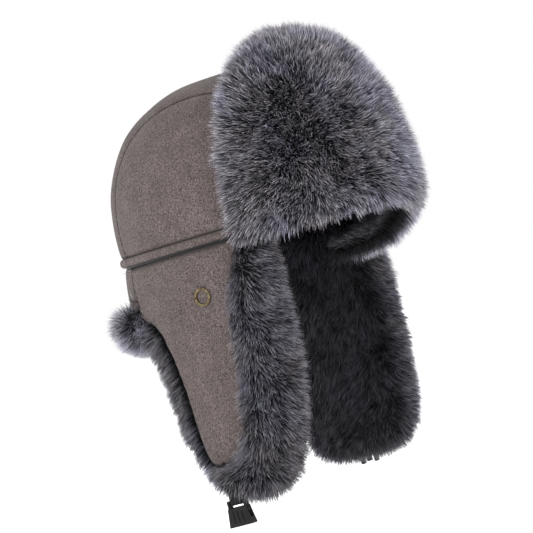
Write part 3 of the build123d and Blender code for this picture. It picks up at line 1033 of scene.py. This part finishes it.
def visor_pieces():
    """The visor's suede side against the crown, and its pelt in front."""
    columns, rows = 90, 56
    sheet = visor_sheet(columns, rows)
    out = crown_normal(sheet)
    edge_points = np.vstack([sheet[:columns], sheet[columns::columns], sheet[columns - 1 :: columns]])
    gaps = np.full(len(sheet), 1e9)
    for point in edge_points:
        gaps = np.minimum(gaps, np.linalg.norm(sheet - point, axis=1))
    edge = rounded(gaps, 8.0)
    drop = visor_drop(sheet)
    front = visor_front(sheet)
    front_skin = sheet + out * (6.5 + (front - 6.5) * edge)[:, None] + drop
    seam_skin = sheet + out * (7.4 - 1.4 * (1 - edge))[:, None] + drop
    back_skin = sheet + out * 2.2 + drop * 0.25
    cloth_skin = sheet + out * (6.8 - 3.2 * (1 - edge))[:, None] + drop * 0.25
    count = len(sheet)
    shell_faces = grid_faces(rows, columns, flip=True) + grid_faces(rows, columns, start=count)
    shell = np.vstack([back_skin, cloth_skin])
    suede = build(
        "visor_suede", shell, shell_faces, SUEDE, {"seam": np.zeros(len(shell))}
    )
    pelt = np.vstack([front_skin, seam_skin])
    pelt_faces = grid_faces(rows, columns) + grid_faces(rows, columns, start=count, flip=True)
    under = np.clip(1 - sheet[:, 2] / 14, 0, 1) * np.clip(visor_droop(sheet) / 8, 0.3, 1)
    rim_weight = np.maximum(np.where(gaps < 2.5, 1.0, 0.0), under)
    weight = np.concatenate([1 + 0.6 * np.clip(1 - gaps / 12, 0, 1), rim_weight])
    # The visor's hair gets painted shade where it faces the head.
    fur, guard = furry(
        "visor_fur_pelt", pelt, pelt_faces, weight, 60000, HAIR, visor_drape, painted_inner_shade, 91
    )
    return suede, fur, guard


visor_suede, visor_fur, visor_guard = visor_pieces()
for piece in (visor_suede, visor_fur, visor_guard):
    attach(piece, "visor")
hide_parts("visor_backing", "visor_wadding")
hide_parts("visor_fur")

# ------------------------------------------------------------------ chin strap


def strap(side, bar_z):
    """Webbing from the flap's tip, round the buckle's bar and back up."""
    top, thick, radius, flap_back = -148.0, 0.9, 1.9, -156.0
    turns = np.linspace(0, math.pi, 13)
    path = [(1.0, z) for z in np.linspace(top, bar_z + 5, 12)]
    path += [(radius * math.cos(t), bar_z - radius * math.sin(t)) for t in turns]
    path += [(-1.0, z) for z in np.linspace(bar_z + 5, top, 12)]
    path = np.array(path)
    path[:, 0] -= side * 0.55 * np.clip(path[:, 1] - flap_back, 0, None)
    heading = unit(np.gradient(path, axis=0))
    normal = np.stack([-heading[:, 1], heading[:, 0]], 1)
    half = STRAP_HALF_WIDTH
    across = np.concatenate([np.linspace(-half, half, 9), np.linspace(half, -half, 9)])
    level = np.concatenate([np.full(9, 0.5), np.full(9, -0.5)]) * thick
    level[[0, 8, 9, 17]] *= 0.4
    points = []
    for (px, pz), (nx, nz) in zip(path, normal):
        x = side * STRAP_X + px + nx * level
        z = pz + nz * level
        points.append(np.stack([x, STRAP_Y + across, z], 1))
    points = np.vstack(points)
    faces = grid_faces(len(path), len(across), closed=True)
    return build(f"chin_strap_{word_for(side)}_webbing", points, faces, WEBBING)


for side, bar_z in ((-1, -178.5), (1, -165.0)):
    word = word_for(side)
    piece = strap(side, bar_z)
    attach(piece, f"strap_{word}")
    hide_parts(f"chin_strap_{word}")


def repaint(node, paint, radius):
    """Gives a hard CAD part its finish and a small worn edge."""
    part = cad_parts[node]
    part.data.materials.clear()
    part.data.materials.append(paint)
    worn = part.modifiers.new("worn_edge", "BEVEL")
    worn.width = radius * MM
    worn.segments = 2
    worn.limit_method = "ANGLE"


for node in ("buckle_socket", "buckle_plug", "plug_prong_front", "plug_prong_rear"):
    repaint(node, PLASTIC, 0.2)
for node in ("eyelet_right", "eyelet_left", "eyelet_washer_right", "eyelet_washer_left"):
    repaint(node, BRASS, 0.06)

# ------------------------------------------------------------------ camera, light and floor


def camera():
    """Looks at the wearer's front right, level, with the hat leaning back to the left."""
    azimuth, lean, distance, width = math.radians(-60), math.radians(16.2), 3.2, 0.380
    level = Vector((math.cos(azimuth), math.sin(azimuth), 0))
    up = Vector((0, 0, 1))
    back = Vector((math.sin(azimuth), -math.cos(azimuth), 0))
    right = level * math.cos(lean) - up * math.sin(lean)
    top = level * math.sin(lean) + up * math.cos(lean)
    aim = Vector((-0.0025, 0.0043, -0.027))
    lens = bpy.data.cameras.new("camera")
    lens.sensor_width = 36
    lens.lens = 36 * distance / width
    lens.clip_end = 50
    made = bpy.data.objects.new("camera", lens)
    turn = Matrix((right, top, back)).transposed()
    made.matrix_world = Matrix.Translation(aim + back * distance) @ turn.to_4x4()
    bpy.context.scene.collection.objects.link(made)
    bpy.context.scene.camera = made
    return right, top, back


def area_light(name, place, size, power):
    """Square lamp that faces the hat."""
    light = bpy.data.lights.new(name, "AREA")
    light.shape = "SQUARE"
    light.size = size
    light.energy = power
    made = bpy.data.objects.new(name, light)
    made.location = place
    made.rotation_euler = (Vector((0, 0, -0.02)) - place).to_track_quat("-Z", "Y").to_euler()
    bpy.context.scene.collection.objects.link(made)


def studio():
    """Pale floor and background, a large key light, a fill and a rim light."""
    right, top, back = camera()
    area_light("key", -0.9 * right + 0.9 * top + 1.6 * back, 1.2, 10)
    area_light("fill", 1.3 * right + 0.3 * top + 1.1 * back, 1.4, 1.5)
    area_light("rim", 0.6 * right + 1.2 * top - 1.0 * back, 1.0, 6)
    world = bpy.data.worlds.new("studio")
    bpy.context.scene.world = world
    world.use_nodes = True
    world.node_tree.nodes["Background"].inputs["Color"].default_value = (1, 1, 1, 1)
    world.node_tree.nodes["Background"].inputs["Strength"].default_value = 1.0
    paint, nodes, links, shader = material("floor")
    shade = noise_at(nodes, links, 2, 1)
    pale = ramp(nodes, links, shade, (0.0, (0.90, 0.90, 0.90)), (1.0, (0.93, 0.93, 0.93)))
    links.new(pale, shader.inputs["Base Color"])
    links.new(pale, shader.inputs["Emission Color"])
    shader.inputs["Emission Strength"].default_value = 0.75
    shader.inputs["Roughness"].default_value = 0.9
    level = cad_box[0][2] - 0.004
    data = bpy.data.meshes.new("floor")
    reach = 12.0
    corners = [(-reach, -reach), (reach, -reach), (reach, reach), (-reach, reach)]
    data.from_pydata([(x, y, level) for x, y in corners], [], [(0, 1, 2, 3)])
    data.materials.append(paint)
    floor = bpy.data.objects.new("floor", data)
    bpy.context.scene.collection.objects.link(floor)
    bpy.context.scene.view_settings.view_transform = "Standard"


studio()
